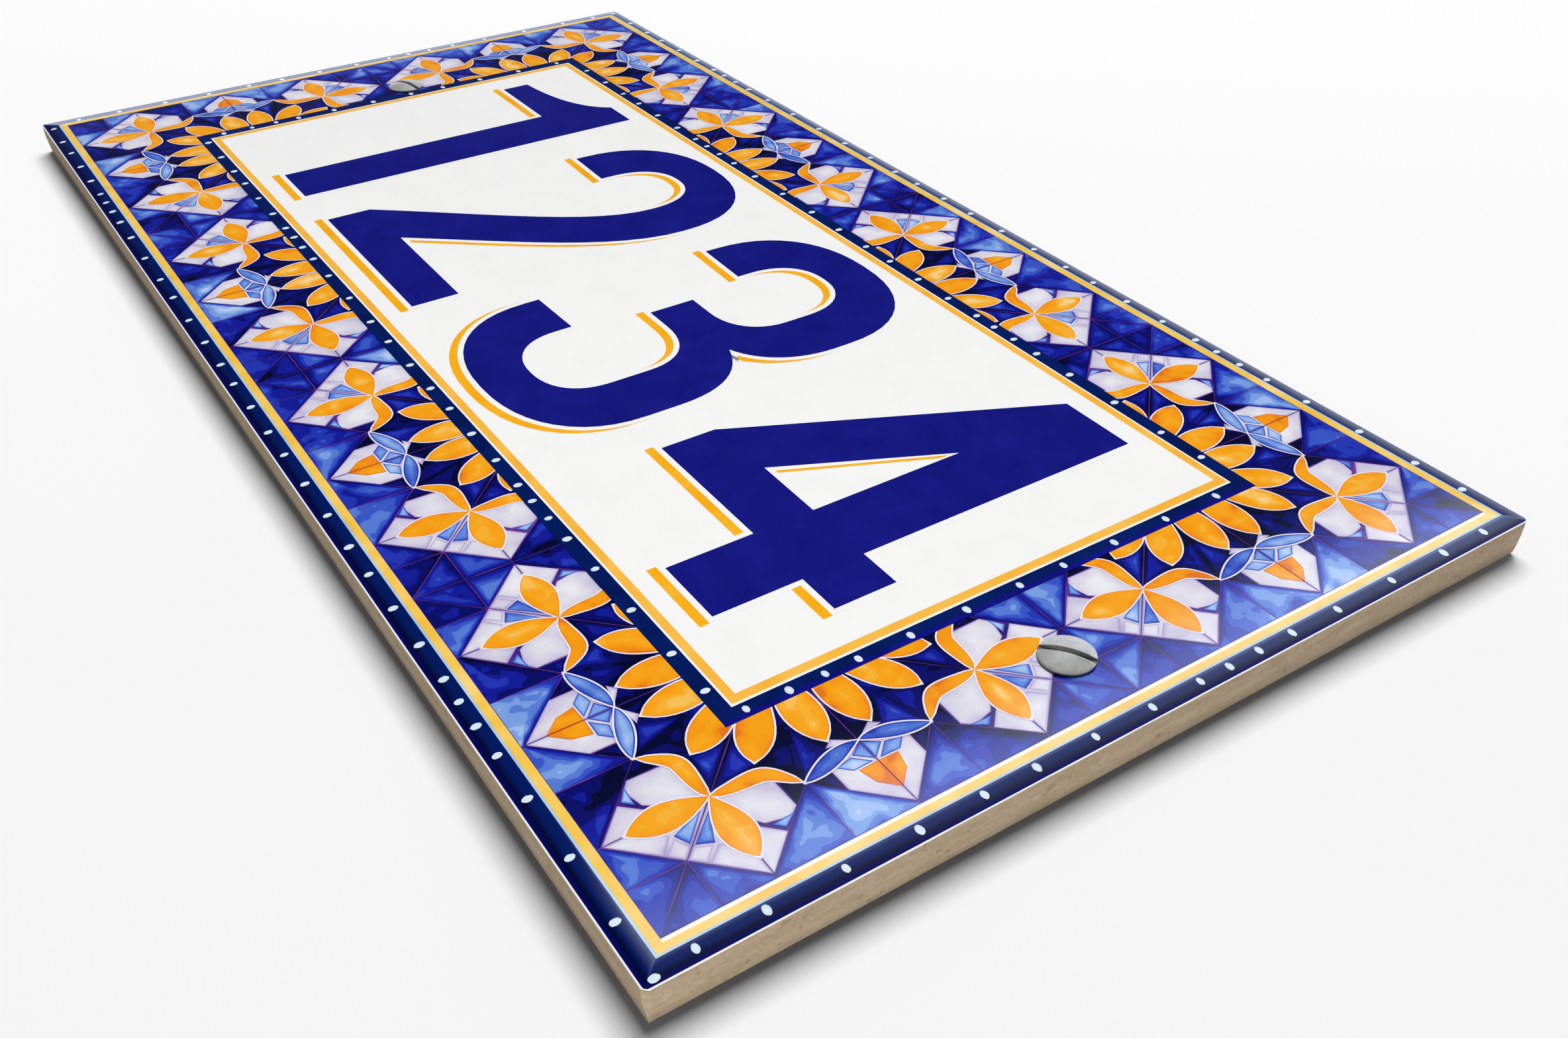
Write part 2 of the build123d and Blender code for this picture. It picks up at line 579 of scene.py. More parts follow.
def lay_facets(name, material, shapes, lift, inset=seam_width / 2, stray=0.0):
    """Painted fields that repeat in every eighth, as a piece of their own."""
    sheet = ColourSheet(lift)
    facets_of(sheet, shapes, inset, stray)
    sheet.make(name, material)


# Thin colour dried from its edges: how far up its own scale of shades a point has come. From the floor at
# its edge it climbs over the edge width, then slowly to the reach, and clouds break it into flat patches.
edge_share = 0.6
middle_share = 0.55
patch_step = 0.11
patch_shift = 0.05
patch_hardness = 0.85
wash, wash_in, wash_out = new_group(
    "wash", {"Rim": 0.0, "Tone": 0.5, "Edge": 0.6, "Reach": 2.5, "Waver": 0.5, "Floor": 0.0}, ("Depth",)
)
wash_place = own_place(wash)
drift = noise(wash, wash_place, 170.0, detail=1.0, distortion=0.7)
cloud = noise(wash, wash_place, 400.0, detail=0.5, distortion=0.5)
clouds = arithmetic(wash, "MULTIPLY_ADD", cloud, 0.5, arithmetic(wash, "SUBTRACT", drift, 0.75))
climb = grade(wash, wash_in.outputs["Rim"], 0.0, wash_in.outputs["Edge"])
middle = grade(wash, wash_in.outputs["Rim"], 0.0, wash_in.outputs["Reach"])
climbed = grade(wash, climb, 0.0, 1.0, wash_in.outputs["Floor"], edge_share)
body = arithmetic(wash, "MULTIPLY_ADD", middle, middle_share, climbed)
wavered = arithmetic(wash, "MULTIPLY", clouds, wash_in.outputs["Waver"])
swing = arithmetic(wash, "MULTIPLY", wavered, climb)
smooth = arithmetic(wash, "MULTIPLY_ADD", body, wash_in.outputs["Tone"], swing)
stepped = arithmetic(wash, "SNAP", arithmetic(wash, "ADD", smooth, patch_shift), patch_step)
wash.links.new(blend_value(wash, patch_hardness, smooth, stepped), wash_out.inputs["Depth"])


def washed_enamel(name, stops, edge, reach, waver, floor=0.0):
    """A painted colour whose shade runs from the edge of each field to its middle."""
    material, tree, shader = new_material(name)
    point = {"Rim": carried(tree, "rim"), "Tone": carried(tree, "tone")}
    settings = {"Edge": edge, "Reach": reach, "Waver": waver, "Floor": floor}
    painted = node(tree, "Group", point | settings, node_tree=wash)
    feed(shader, "Base Color", ramp(tree, painted.outputs["Depth"], stops))
    glaze_over(tree, shader)
    return material


blue_stops = [
    (0.0, "#04072F"), (0.08, "#080C50"), (0.17, "#0D1186"), (0.28, "#1A25A6"),
    (0.4, "#2C45BE"), (0.52, "#4A6ED0"), (0.66, "#7A9FE2"), (0.8, "#A6C2F2"), (0.95, "#CAD8FA"),
]
blue_enamel = washed_enamel("washed_blue_enamel", blue_stops, edge=0.8, reach=3.0, waver=0.6, floor=0.22)
lay_facets("blue_facets", blue_enamel, blue_facets, lift=0.03, stray=0.35)
lay_facets("blue_facets_round_rosette", blue_enamel, blue_over_dark, lift=0.045, stray=0.3)

# The white fields of the border
# Lavender-white enamel: a lozenge of several fields behind each corner flower, a kite behind each tulip
# and the thin leaves at the rosette, each with a lilac edge.
white_ground = (
    ((flower, (0.572, 0.8), lozenge_foot, lozenge_side), 0.45, 0.15),
    (((0.0, 0.645), (0.168, 0.711), (0.166, 0.815), tulip_foot), 0.75, 0.15),
    (((0.011, 0.625), (0.082, 0.573), (0.125, 0.606)), 0.8, 0.15),
    ((
        (0.562, 0.588), (0.43, 0.612), (0.352, 0.622), (0.348, 0.772), (0.39, 0.806), (0.482, 0.783),
        (0.53, 0.72),
    ), 0.8, 0.2),
    (((0.434, 0.852), (0.506, 0.776), (0.572, 0.8), lozenge_foot), 0.7, 0.2),
)
white_pieces = (
    (((0.572, 0.83), (0.655, 0.768), (0.722, 0.828), lozenge_foot), 0.75, 0.2),
    (((0.73, 0.735), (0.772, 0.777), (0.726, 0.823), (0.666, 0.765)), 0.85, 0.15),
)
white_stops = [
    (0.0, "#A294C6"), (0.15, "#BFB5D8"), (0.36, "#CEC7DF"), (0.55, "#D8D4E4"), (0.75, "#E0DEEA"),
    (1.0, "#ECEBF2"),
]
lavender_white = washed_enamel("lavender_white_enamel", white_stops, edge=0.3, reach=2.2, waver=0.9)
lay_facets("lavender_white_fields", lavender_white, white_ground, lift=0.045, inset=0.07)
small_white_fields = ColourSheet(lift=0.055)
facets_of(small_white_fields, white_pieces, inset=0.09)
# A small disc where strokes meet, laid once where two eighths share the place
crossings = ((flower, 0.6), (knot, 0.35))
disc_corners = 8
discs_laid = set()
for put in eighths():
    for crossing, size in crossings:
        x, z = put(crossing)
        if (x, z) in discs_laid or inside(panel_box, x, z):
            continue
        discs_laid.add((x, z))
        angles = [2 * pi * i / disc_corners for i in range(disc_corners)]
        small_white_fields.facet([(x + size * cos(a), z + size * sin(a)) for a in angles])
small_white_fields.make("lavender_white_squares", lavender_white)

# The pale blue fields of the border
# Small light facets: the cup under each tulip, the wedge between a corner flower's outer petals and the
# corner under its inner leaf.
pale_facets = (
    (((0.0, 0.638), (0.068, 0.684), (0.0, 0.746)), 0.62, 0.2),
    (((0.072, 0.686), (0.15, 0.702), (0.1, 0.752), (0.008, 0.749)), 0.6, 0.2),
    (((0.603, 0.62), (0.725, 0.733), (0.66, 0.765)), 0.6, 0.24),
    (((0.362, 0.79), (0.476, 0.796), (0.432, 0.84)), 0.75, 0.2),
)
pale_stops = [
    (0.0, "#1C2A9E"), (0.12, "#3A58C6"), (0.3, "#5C82DA"), (0.45, "#7DA2E6"), (0.6, "#98BAEE"),
    (0.85, "#C3D6F7"),
]
pale_wash = washed_enamel("pale_blue_wash", pale_stops, edge=0.25, reach=1.3, waver=0.5)
lay_facets("pale_blue_facets", pale_wash, pale_facets, lift=0.062, inset=0.1)

# The petals and leaves of the border
# Yellow-orange petals, each inside a fine white outline: sixteen in the rosette of every square, two
# straight and two hooked ones on each corner flower, and half a heart each side of a tulip's middle.
# The two leaves at a tulip are blue.
petal_steps = 14
outline_width = 0.26
overlap = 0.0018
overlap_turns = 6
tip_growth = 1.6


def bend(points, steps=petal_steps):
    """A smooth line from the first point to the last, drawn towards any points between."""
    line = []
    for i in range(steps + 1):
        row, t = list(points), i / steps
        while len(row) > 1:
            row = [(a[0] + (b[0] - a[0]) * t, a[1] + (b[1] - a[1]) * t) for a, b in zip(row, row[1:])]
        line.append(row[0])
    return line


def swell(width, fullness, lean=1.0):
    """Half widths of a pointed petal; a lean over 1 puts its widest place nearer the tip."""
    shares = [i / petal_steps for i in range(1, petal_steps)]
    return [width / 2 * sin(pi * share ** lean) ** fullness for share in shares]


elbow = (0.388, 0.584)
hooked_spine = [
    *bend((flower, (0.5, 0.588), (0.43, 0.576), elbow), petal_steps // 2),
    *bend((elbow, (0.35, 0.588), (0.322, 0.63), (0.275, 0.694)), petal_steps // 2)[1:],
]
orange_petals = (
    # spine in the eighth, half widths in millimetres, tone, how much the tone varies
    (bend(((0.06, 0.1), (0.084, 0.34), (0.094, 0.573))), swell(5.1, 0.72, 1.5), 0.5, 0.14),
    (bend(((0.09, 0.12), (0.27, 0.37), (0.361, 0.521))), swell(4.9, 0.75, 1.45), 0.5, 0.14),
    (bend((flower, (0.572, 0.893))), swell(4.5, 0.82, 1.2), 0.46, 0.14),
    (hooked_spine, swell(2.2, 0.6, 0.9), 0.42, 0.12),
)
blue_leaves = ((bend((knot, (0.18, 0.685), (0.09, 0.635), (0.004, 0.633))), swell(2.3, 0.8), 0.5, 0.2),)
heart_halves = ((((0.0, 0.752), (0.086, 0.755), (0.066, 0.836), (0.0, 0.905)), 0.36, 0.1),)


def grown(spine, widths, by):
    """A petal's outline: the same petal, wider all round and longer at its ends."""
    first = Vector(spine[0]) + (Vector(spine[0]) - Vector(spine[1])).normalized() * by * tip_growth
    last = Vector(spine[-1]) + (Vector(spine[-1]) - Vector(spine[-2])).normalized() * by * tip_growth
    return [tuple(first), *spine[1:-1], tuple(last)], [width + by for width in widths]


white_outlines = ColourSheet(lift=0.072)
petals = ColourSheet(lift=0.084)
leaves = ColourSheet(lift=0.084)
stroke = 0
for put in eighths():
    for shapes, sheet in ((orange_petals, petals), (blue_leaves, leaves)):
        for shape, widths, tone, spread in shapes:
            spine = [put(point) for point in shape]
            # Where strokes cross, each lies a little over the one before
            stroke += 1
            raised = stroke % overlap_turns * overlap
            if not under_panel(spine):
                white_outlines.blade(*grown(spine, widths, outline_width), raised=raised)
                sheet.blade(spine, widths, varied(tone, spread), raised)
facets_of(petals, heart_halves, inset=0.06)
orange_stops = [
    (0.0, "#E4761A"), (0.07, "#EF8718"), (0.16, "#F59516"), (0.27, "#F89F12"), (0.45, "#F8A71E"),
    (0.56, "#F9B234"), (0.68, "#FAC25E"), (0.82, "#FBD898"),
]
outline_stops = [(0.0, "#D9D2E6"), (0.2, "#ECE8F2"), (0.5, "#F4F2F7")]
leaf_stops = [(0.0, "#141C92"), (0.15, "#2B44BC"), (0.3, "#4468CC"), (0.5, "#6C93DE"), (0.75, "#A3C0F0")]
outline_white = washed_enamel("outline_white_enamel", outline_stops, edge=0.1, reach=1.0, waver=0.3)
orange = washed_enamel("orange_enamel", orange_stops, edge=0.22, reach=2.4, waver=1.0)
leaf_blue = washed_enamel("leaf_blue_enamel", leaf_stops, edge=0.3, reach=1.2, waver=0.7)
white_outlines.make("petal_outlines", outline_white)
petals.make("orange_petals", orange)
leaves.make("blue_leaves", leaf_blue)

# The number panel
# White glaze inside a navy band with pale dots and a deeper yellow line. The panel covers the middle of
# the border's squares, as it does on the print.
bright_strip_inside = inset_box(28.2, 29.1, 27.5, 27.5)
inner_band_inside = inset_box(30.9, 30.9, 30.0, 30.0)
inner_line_outside = inset_box(31.25, 31.35, 30.35, 30.3)
inner_line_inside = inset_box(32.6, 32.8, 31.7, 31.7)
panel_white = line_enamel("panel_white_glaze", "#F8F8F7", "#F9F9F8", "#F6F6F5")
panel = ColourSheet(lift=0.1)
low_x, high_x, low_z, high_z = panel_box
panel.plate([[(low_x, low_z), (high_x, low_z), (high_x, high_z), (low_x, high_z)]])
panel.make("number_panel", panel_white)
inner_navy = line_enamel("inner_navy_enamel", "#021A5C", "#041F68", "#02134C")
lay_ring("inner_navy_band", inner_navy, panel_box, inner_band_inside, lift=0.112)
bright_navy = line_enamel("bright_navy_enamel", "#0D0E80", "#141690", "#0A0B66")
lay_ring("inner_band_bright_strip", bright_navy, panel_box, bright_strip_inside, lift=0.118)
inner_dots = ColourSheet(lift=0.124)
inner_x = (panel_box[1] + inner_band_inside[1]) / 2
inner_z = (panel_box[3] + inner_band_inside[3]) / 2
first_above, first_below, first_left, first_right = 10.5, 4.9, 5.1, 7.1
row_down = (10.0, *dot_run[:9])
dots_along(inner_dots, panel_box[0] + first_above, (*dot_run, *dot_run, dot_turn), inner_z)
dots_along(inner_dots, panel_box[0] + first_below, (*dot_run, dot_turn) * 2, -inner_z)
dots_along(inner_dots, panel_box[3] - first_right, row_down, inner_x, upright=True)
dots_along(inner_dots, panel_box[3] - first_left, row_down, -inner_x, upright=True)
inner_dots.make("inner_band_dots", dot_enamel)
deep_yellow = line_enamel("deep_yellow_enamel", "#FBBC46", "#FCC55C", "#F7B13A")
lay_ring("inner_yellow_line", deep_yellow, inner_line_outside, inner_line_inside, lift=0.112)

# The number
# Broad upright figures in dark blue enamel. A yellow shadow lies under each, a little lower, parted from
# it by a white edge. Each figure's sizes are from its lower left corner.
figure_height = 77.3
overshoot = 1.3
baseline = -37.8
number_start = -103.0
white_edge = 1.0
shadow_drop = 1.56
curve_steps = 12
squareness = 2.3
least_step = 0.05


def half_round(middle, width, height, start):
    """Half of a squared ellipse, counter-clockwise from start, which counts in quarter turns."""
    line = []
    for i in range(2 * curve_steps + 1):
        angle = (start + i / curve_steps) * pi / 2
        c, s = cos(angle), sin(angle)
        x = abs(c) ** (2 / squareness) * (1 if c > 0 else -1)
        z = abs(s) ** (2 / squareness) * (1 if s > 0 else -1)
        line.append((middle[0] + width * x, middle[1] + height * z))
    return line


def figure_one():
    stem_left, stem_right, flag_low, flag_high = 20.9, 34.0, 61.1, 67.4
    flag = bend(((24.7, figure_height), (19.5, 69.0), (0.0, flag_high)), curve_steps)
    return [[
        (0.0, flag_low), (stem_left, flag_low), (stem_left, 0.0), (stem_right, 0.0),
        (stem_right, figure_height), *flag,
    ]]


def figure_two():
    width, stem, foot, shoulder = 44.4, 12.6, 9.2, 57.8
    top, inner_top = figure_height + overshoot, 69.4
    middle = width / 2
    return [[
        (0.0, 0.0), (width, 0.0), (width, foot),
        *bend(((16.0, foot), (30.0, 27.5), (width, 42.0), (width, shoulder)), curve_steps),
        *half_round((middle, shoulder), middle, top - shoulder, 0),
        (0.0, 56.4), (stem, 56.0),
        *reversed(half_round((middle, shoulder), middle - stem, inner_top - shoulder, 0)),
        *bend(((width - stem, shoulder), (width - stem, 44.0), (16.5, 30.0), (0.0, 8.9)), curve_steps),
    ]]


def figure_three():
    width, narrow, stem = 46.2, 45.0, 12.6
    low, high, top, bottom = 18.0, 58.5, figure_height + overshoot, -overshoot
    inner_top, inner_bottom = 69.2, 7.8
    bar_left, bar_low, bar_high, notch = 15.8, 35.3, 44.3, (35.2, 40.2)
    low_middle, high_middle = (width / 2, low), (narrow / 2, high)
    low_side, high_side = width - stem, narrow - stem
    return [[
        (0.0, 20.6),
        *half_round(low_middle, width / 2, low - bottom, 2),
        *bend(((width, 24.0), (width, 33.0), (42.0, 38.0), notch), curve_steps),
        *bend((notch, (41.0, 42.4), (narrow, 48.0), (narrow, 56.0)), curve_steps)[1:],
        *half_round(high_middle, narrow / 2, top - high, 0),
        (0.0, 56.6), (stem, 56.2),
        *reversed(half_round(high_middle, narrow / 2 - stem, inner_top - high, 0)),
        *bend(((high_side, 54.0), (high_side, 48.0), (28.0, bar_high), (22.0, bar_high)), curve_steps),
        (bar_left, bar_high), (bar_left, bar_low),
        *bend(((22.0, bar_low), (29.5, bar_low), (low_side, 31.5), (low_side, 25.0)), curve_steps),
        *reversed(half_round(low_middle, width / 2 - stem, low - inner_bottom, 2)),
        (stem, 21.0),
    ]]


def figure_four():
    width, stem_left, stem_right, bar_low, bar_high = 47.6, 27.0, 39.8, 14.8, 25.4
    slope_top, slope_foot = (25.4, figure_height), (0.0, 24.6)
    slope = (slope_top[1] - slope_foot[1]) / (slope_top[0] - slope_foot[0])
    counter_left = 13.6
    counter_top = bar_high + (stem_left - counter_left) * slope
    return [
        [
            (0.0, bar_low), (stem_left, bar_low), (stem_left, 0.0), (stem_right, 0.0),
            (stem_right, bar_low), (width, bar_low), (width, bar_high), (stem_right, bar_high),
            (stem_right, figure_height), slope_top, slope_foot,
        ],
        [(stem_left, bar_high), (counter_left, bar_high), (stem_left, counter_top)],
    ]


def spaced(outline):
    """The outline without points that fall on the one before."""
    pairs = zip(outline[-1:] + outline[:-1], outline)
    return [b for a, b in pairs if hypot(a[0] - b[0], a[1] - b[1]) > least_step]


# Each figure, and where it starts along the number
number = ((figure_one(), 0.0), (figure_two(), 47.6), (figure_three(), 102.3), (figure_four(), 158.0))
shadow_sheet = ColourSheet(lift=0.106)
edge_sheet = ColourSheet(lift=0.112)
figure_sheet = ColourSheet(lift=0.12)
for outlines, place in number:
    shape, wide = [], []
    for i, outline in enumerate(outlines):
        outline = spaced([(number_start + place + x, baseline + z) for x, z in outline])
        shape.append(outline)
        wide.append(offset_outline(outline, white_edge if i == 0 else -white_edge))
    shadow_sheet.plate([[(x, z - shadow_drop) for x, z in outline] for outline in wide])
    edge_sheet.plate(wide)
    figure_sheet.plate(shape)
shadow_sheet.make("number_shadow", line_enamel("amber_enamel", "#FBB21A", "#FCBB32", "#F8A90F"))
edge_sheet.make("number_white_edge", panel_white)
figure_sheet.make("number", line_enamel("number_blue_enamel", "#15177F", "#191C86", "#121478"))

# The fixing screws
# Slotted wood screws of dull grey plated steel with domed heads, driven through the tile's two holes. The
# heads seat on the glaze; behind the tile each has a coarse thread down to a gimlet point.
slot_angles = {"left": 23.0, "right": 35.0}
head_land = 0.5
head_rise = 0.8
rim_round = 0.18
rim_break = 0.04
arris = 0.07
slot_width = 1.0
slot_depth = 1.0
slot_overrun = 1.5
neck_radius = 1.5
neck_fillet = 0.3
core_radius = 1.35
thread_radius = 2.0
thread_start = 2.1
thread_runout = 0.6
thread_pitch = 1.75
flank_share = 0.26
least_flank = 0.4
root_share = 0.94
least_root = 0.06
crest_delay = 0.15
point_length = 6.0
point_past_thread = 0.4
tip_radius = 0.1
dome_steps = 16
lathe_steps = 64
coil_steps = 28
# The colour of the painted shade in the slot and round the foot of the head, and how far behind the seat
# it reaches
recess_shade_colour = "#2E2D2A"
shade_foot = 0.1
screw_steel, tree, shader = new_material("dull_plated_steel")
place = own_place(tree)
patina = noise(tree, place, 420.0, detail=5.0, distortion=0.5)
pitting = noise(tree, place, 2600.0, detail=2.0)
drawn_out = node(tree, "Mapping", {"Vector": place, "Scale": (1.0, 1.0, 9.0)}).outputs[0]
brushed = noise(tree, drawn_out, 900.0, detail=3.0)
steel_tone = arithmetic(tree, "MULTIPLY_ADD", brushed, 0.35, arithmetic(tree, "MULTIPLY", patina, 0.65))
steel = ramp(tree, steel_tone, [(0.3, "#A2A29E"), (0.5, "#C2C2BE"), (0.7, "#D6D6D2")])
# Painted shade: the slot and the side and foot of the head are darkened by how deep they lie below the
# dome
recess = carried(tree, "recess")
painted_shade = grade(tree, recess, 0.0, 0.25, high=0.9)
feed(shader, "Base Color", blend_colour(tree, painted_shade, steel, srgb(recess_shade_colour)))
feed(shader, "Roughness", arithmetic(tree, "MULTIPLY_ADD", patina, 0.3, 0.27))
shader.inputs["Metallic"].default_value = 0.35
steel_relief = arithmetic(tree, "MULTIPLY_ADD", pitting, 0.5, brushed)
bump = node(tree, "Bump", {"Strength": 0.25, "Distance": 0.00004, "Height": steel_relief})
feed(shader, "Normal", bump.outputs[0])


def turned(profile):
    """A solid turned about the Y axis from (radius, y) pairs; the first and last lie on the axis."""
    angles = [2 * pi * i / lathe_steps for i in range(lathe_steps)]
    points = [(0.0, profile[0][1], 0.0)]
    for radius, y in profile[1:-1]:
        points += [(radius * cos(angle), y, radius * sin(angle)) for angle in angles]
    points.append((0.0, profile[-1][1], 0.0))
    last, rows = len(points) - 1, len(profile) - 2
    faces = []
    for i in range(lathe_steps):
        j = (i + 1) % lathe_steps
        faces.append((0, 1 + i, 1 + j))
        for row in range(rows - 1):
            a = 1 + row * lathe_steps
            b = a + lathe_steps
            faces.append((a + i, b + i, b + j, a + j))
        a = 1 + (rows - 1) * lathe_steps
        faces.append((a + i, last, a + j))
    return points, faces


def thread_coil(start, end, taper_from):
    """The thread: a three-sided ridge wound on the core, drawn in where the point tapers."""
    turns = (end - start) / thread_pitch
    count = int(turns * coil_steps)
    points, faces = [], []
    for i in range(count + 1):
        y = start + (end - start) * i / count
        angle = 2 * pi * turns * i / count
        shrink = min(1.0, max(least_root, (end - y) / (end - taper_from)))
        grow_in = min(1.0, i / coil_steps)
        root = core_radius * shrink * root_share
        ridge = (thread_radius - core_radius * root_share) * min(1.0, shrink + crest_delay) * grow_in
        crest = max(root + ridge, root * 1.01)
        flank = thread_pitch * flank_share * max(shrink, least_flank)
        for radius, along in ((root, y - flank), (crest, y), (root, y + flank)):
            points.append((radius * cos(angle), along, radius * sin(angle)))
        if i:
            a = 3 * (i - 1)
            faces += [(a, a + 3, a + 4, a + 1), (a + 1, a + 4, a + 5, a + 2), (a + 2, a + 5, a + 3, a)]
    end_cap = 3 * count
    faces += [(0, 1, 2), (end_cap + 2, end_cap + 1, end_cap)]
    return points, faces


def placed(points, place):
    """A screw's points in millimetres, brought to its hole."""
    return [(place.x + x * MM, y * MM, place.z + z * MM) for x, y, z in points]


def screw(side, slot_angle):
    """One screw: turned, slotted, its edges softened and its thread wound on."""
    low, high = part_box("fixing_screw_" + side)
    place = Vector(((low.x + high.x) / 2, 0, (low.z + high.z) / 2))
    head_radius = (high.x - low.x) / MM / 2
    seat = face_y / MM
    rim_y = seat - head_land
    crown = rim_y - head_rise
    tip = high.y / MM
    dome_radius = (head_radius ** 2 + head_rise ** 2) / (2 * head_rise)
    spread = asin(head_radius / dome_radius)
    angles = [spread * i / dome_steps for i in range(dome_steps)]
    profile = [
        *((dome_radius * sin(angle), crown + dome_radius * (1 - cos(angle))) for angle in angles),
        (head_radius - rim_break, rim_y + rim_break / 2), (head_radius, rim_y + rim_round),
        (head_radius, seat - rim_round / 2), (head_radius - rim_round / 2, seat),
        (neck_radius + neck_fillet, seat), (neck_radius, seat + neck_fillet),
        (neck_radius, thread_start - thread_runout), (core_radius, thread_start),
        (core_radius, tip - point_length), (tip_radius, tip - tip_radius / 2), (0.0, tip),
    ]
    body_points, body_faces = turned(profile)
    body_mesh = bpy.data.meshes.new("screw_body")
    body_mesh.from_pydata(placed(body_points, place), [], body_faces)
    body = bpy.data.objects.new("screw_body", body_mesh)
    slot_sizes = (head_radius * slot_overrun, slot_depth, slot_width / 2)
    slot_corners = [Vector(signs) * Vector(slot_sizes) for signs in product((-1, 1), repeat=3)]
    slot_mesh = bpy.data.meshes.new("slot_cutter")
    slot_mesh.from_pydata(slot_corners, [], [
        (0, 1, 3, 2), (4, 6, 7, 5), (0, 4, 5, 1), (2, 3, 7, 6), (0, 2, 6, 4), (1, 5, 7, 3),
    ])
    at_crown = Matrix.Translation(place + Vector((0, crown * MM, 0)))
    slot_mesh.transform(at_crown @ Matrix.Rotation(radians(-slot_angle), 4, "Y") @ Matrix.Scale(MM, 4))
    cutter = bpy.data.objects.new("slot_cutter", slot_mesh)
    for made in (body, cutter):
        bpy.context.scene.collection.objects.link(made)
    cut = body.modifiers.new("slot", "BOOLEAN")
    cut.object = cutter
    cut.solver = "EXACT"
    soften = body.modifiers.new("soften", "BEVEL")
    soften.width = arris * MM
    soften.segments = 2
    soften.limit_method = "ANGLE"
    soften.angle_limit = radians(40)
    bpy.context.view_layer.update()
    finished = bpy.data.meshes.new_from_object(body.evaluated_get(bpy.context.evaluated_depsgraph_get()))
    for made in (body, cutter):
        bpy.data.objects.remove(made)
    cut_points = [tuple(vertex.co) for vertex in finished.vertices]
    # How deep each point lies below the dome, in the slot or down the side of the head, which sets the
    # painted shade there
    recess = []
    for x, y, z in cut_points:
        radius = min(hypot(x - place.x, z - place.z) / MM, head_radius)
        surface = crown + dome_radius - sqrt(dome_radius ** 2 - radius ** 2)
        recess.append(max(y / MM - surface, 0.0) if y < face_y + shade_foot * MM else 0.0)
    coil_points, coil_faces = thread_coil(thread_start, tip - point_past_thread, tip - point_length)
    recess += [0.0] * len(coil_points)
    points = cut_points + placed(coil_points, place)
    faces = [tuple(polygon.vertices) for polygon in finished.polygons]
    faces += [tuple(len(cut_points) + i for i in face) for face in coil_faces]
    name = "slotted_screw_" + side
    piece = add_piece(name, points, faces, {"recess": recess}, screw_steel, crease=32)
    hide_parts("fixing_screw_" + side)
    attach(piece, "root")


for side, slot_angle in slot_angles.items():
    screw(side, slot_angle)

# The wall
# A plain white wall just behind the tile, which takes its shadow. It casts none itself, and seen from
# behind it isn't there, so that the tile's back is lit and can be looked at.
wall_gap = 0.0003
wall_half = 2.0
wall_white = "#FAFAFA"
corner_signs = ((-1, -1), (1, -1), (1, 1), (-1, 1))
wall_mesh = bpy.data.meshes.new("wall")
wall_corners = [(x * wall_half, wall_gap, z * wall_half) for x, z in corner_signs]
wall_mesh.from_pydata(wall_corners, [], [(0, 1, 2, 3)])
wall_paint, tree, shader = new_material("white_wall")
shader.inputs["Base Color"].default_value = srgb(wall_white)
shader.inputs["Roughness"].default_value = 0.95
shader.inputs["Specular IOR Level"].default_value = 0.0
behind = node(tree, "NewGeometry").outputs["Backfacing"]
clear = node(tree, "BsdfTransparent").outputs[0]
one_sided = node(tree, "MixShader", {0: behind, 1: shader.outputs[0], 2: clear})
tree.links.new(one_sided.outputs[0], tree.nodes["Material Output"].inputs["Surface"])
wall_mesh.materials.append(wall_paint)
wall = bpy.data.objects.new("wall", wall_mesh)
bpy.context.scene.collection.objects.link(wall)
wall.visible_shadow = False

# Light and camera
# A broad soft key from the upper left, a small lamp in front on the plaque alone, a low one on its clay
# sides and one behind for its back. The sky is dim, but the glaze mirrors a brighter one: two strips that
# veil the near end, and a glow beyond the left and upper edges.
dome_strength = 0.11
mirrored_least = 0.02
sky_white = (1.0, 1.0, 1.0, 1.0)
mirrored_blue = (0.9, 1.0, 1.22, 1.0)
world = bpy.data.worlds.new("studio")
bpy.context.scene.world = world
world.use_nodes = True
tree = world.node_tree
tree.nodes.clear()
direction = node(tree, "SeparateXYZ", {0: node(tree, "TexCoord").outputs["Generated"]})
out_from_wall = arithmetic(tree, "MULTIPLY", direction.outputs["Y"], -1.0)
least_out = arithmetic(tree, "MAXIMUM", out_from_wall, 0.02)
sideways = arithmetic(tree, "DIVIDE", direction.outputs["X"], least_out)
upward = arithmetic(tree, "DIVIDE", direction.outputs["Z"], least_out)


def strip(rise, fall, strength):
    """A bright upright strip of the sky that rises and falls between these places sideways."""
    left, right = grade(tree, sideways, *rise), grade(tree, sideways, *fall, 1.0, 0.0)
    return arithmetic(tree, "MULTIPLY", arithmetic(tree, "MULTIPLY", left, right), strength)


veil = strip((-0.79, -0.7), (-0.6, -0.52), grade(tree, upward, 0.15, 0.3, high=3.0))
sheen = strip((-0.6, -0.52), (-0.42, -0.32), grade(tree, upward, 0.15, 1.25, high=1.45))
left_start = grade(tree, sideways, -2.97, -3.3)
left_fade = grade(tree, sideways, -3.0, -10.0, 1.7, 1.0)
left_glow = arithmetic(tree, "MULTIPLY", left_start, left_fade)
top_glow = grade(tree, upward, 1.78, 2.75, high=1.7)
lean = arithmetic(tree, "DIVIDE", sideways, arithmetic(tree, "MAXIMUM", upward, 0.02))
edge_glow = blend_value(tree, grade(tree, lean, -1.7, -2.1), top_glow, left_glow)
mirrored_sky = mirrored_least
for part in (veil, sheen, edge_glow):
    mirrored_sky = arithmetic(tree, "ADD", part, mirrored_sky)
in_front = arithmetic(tree, "GREATER_THAN", out_from_wall, 0.0)
dome = arithmetic(tree, "MULTIPLY", in_front, dome_strength)
ray = node(tree, "LightPath").outputs
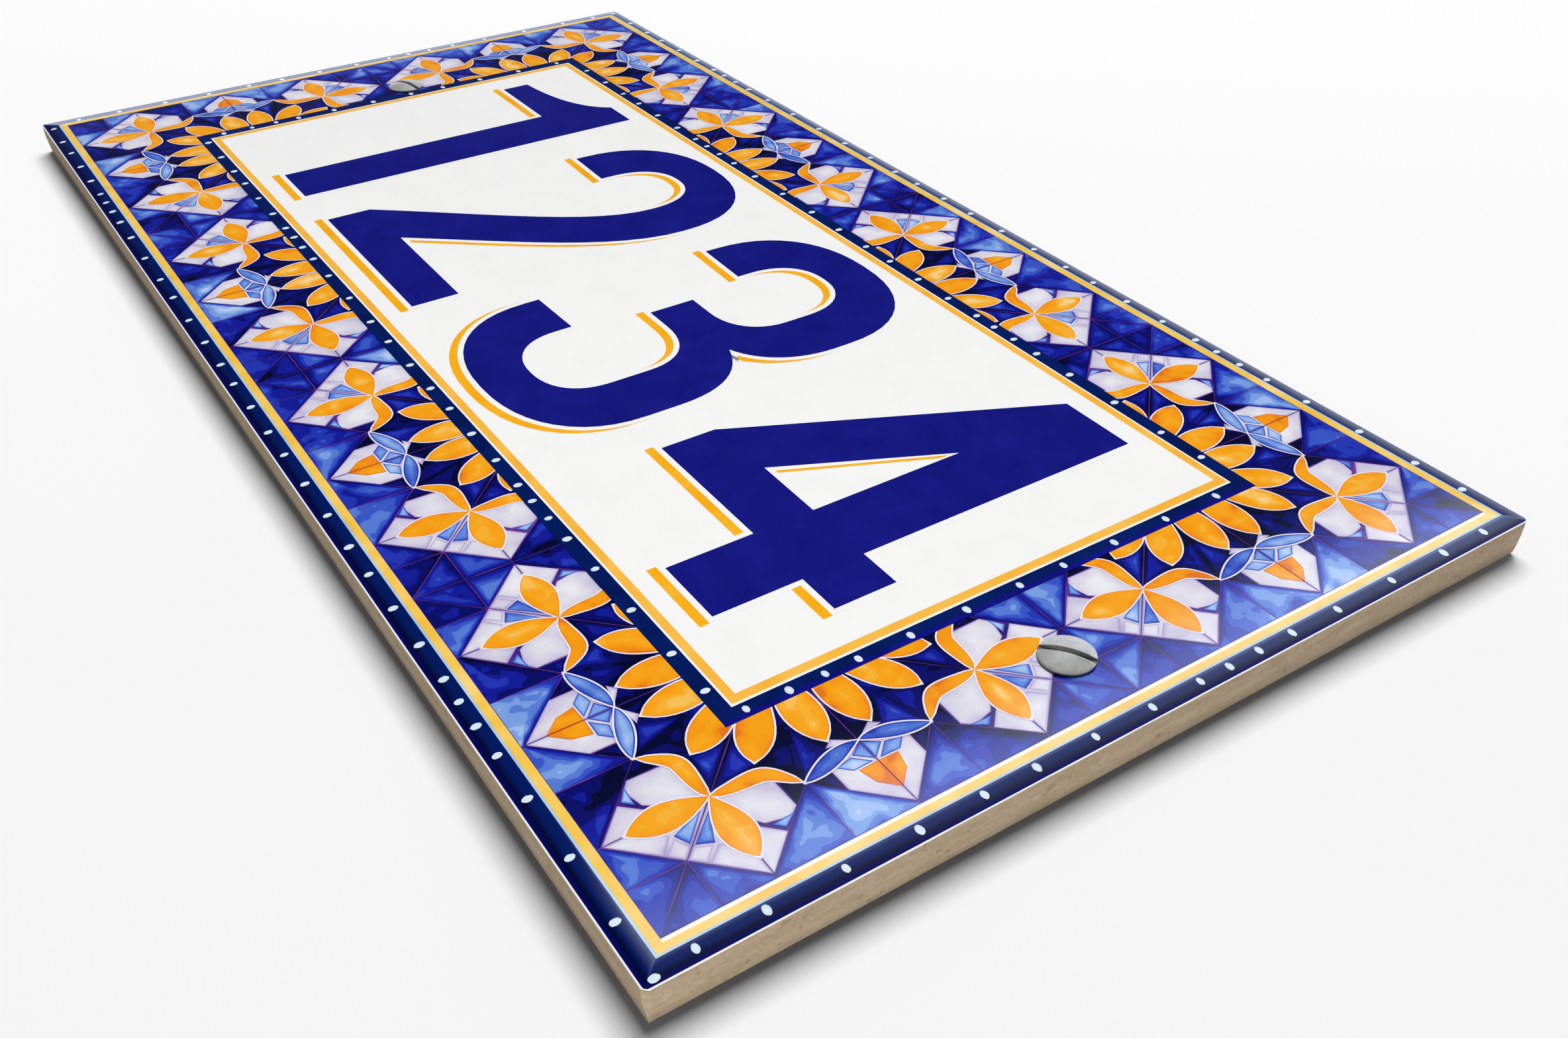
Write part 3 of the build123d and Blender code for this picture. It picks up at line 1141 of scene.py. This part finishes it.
lit_sky = blend_value(tree, ray["Is Glossy Ray"], dome, mirrored_sky)
sky_strength = blend_value(tree, ray["Is Camera Ray"], lit_sky, 1.0)
sky_colour = blend_colour(tree, ray["Is Glossy Ray"], sky_white, mirrored_blue)
sky = node(tree, "Background", {"Color": sky_colour, "Strength": sky_strength})
node(tree, "OutputWorld", {"Surface": sky.outputs[0]})


def lamp(name, place, watts, size, mirrored=False):
    """A square lamp that faces the plaque; the glaze shows it only where it is mirrored."""
    light = bpy.data.lights.new(name, "AREA")
    light.size = size
    light.energy = watts
    made = bpy.data.objects.new(name, light)
    made.location = place
    made.rotation_mode = "QUATERNION"
    made.rotation_quaternion = (-Vector(place)).to_track_quat("-Z", "Y")
    made.visible_camera = False
    made.visible_glossy = mirrored
    bpy.context.scene.collection.objects.link(made)
    return made


lamp("key", (-1.44, -4.4, 1.44), watts=254.0, size=3.0)
fill = lamp("fill", (0.38, 0.12, -0.2), watts=0.8, size=0.15)
front = lamp("front", (0.3, -2.5, 0.3), watts=4.5, size=0.8)
lamp("behind", (-1.0, 2.0, 1.1), watts=62.0, size=2.4, mirrored=True)
plaque = [piece for piece in bpy.context.scene.objects if piece.type == "MESH" and piece != wall]
for light, lit in ((fill, [tile]), (front, plaque)):
    receivers = bpy.data.collections.new("lit_by_" + light.name)
    for piece in lit:
        receivers.objects.link(piece)
    light.light_linking.receiver_collection = receivers

camera_data = bpy.data.cameras.new("camera")
camera_data.sensor_width = 36.0
camera_data.lens = 34.35
camera_data.clip_start = 0.01
camera = bpy.data.objects.new("camera", camera_data)
camera_right = Vector((0.5525, -0.0006, 0.8335))
camera_up = Vector((-0.4934, -0.8062, 0.3265))
camera_back = camera_right.cross(camera_up)
camera_place = Vector((0.2301, face_y - 0.131, -0.1159))
turned_to = Matrix((camera_right, camera_up, camera_back)).transposed()
camera.matrix_world = Matrix.Translation(camera_place) @ turned_to.to_4x4()
bpy.context.scene.collection.objects.link(camera)
bpy.context.scene.camera = camera
bpy.context.scene.view_settings.view_transform = "Standard"
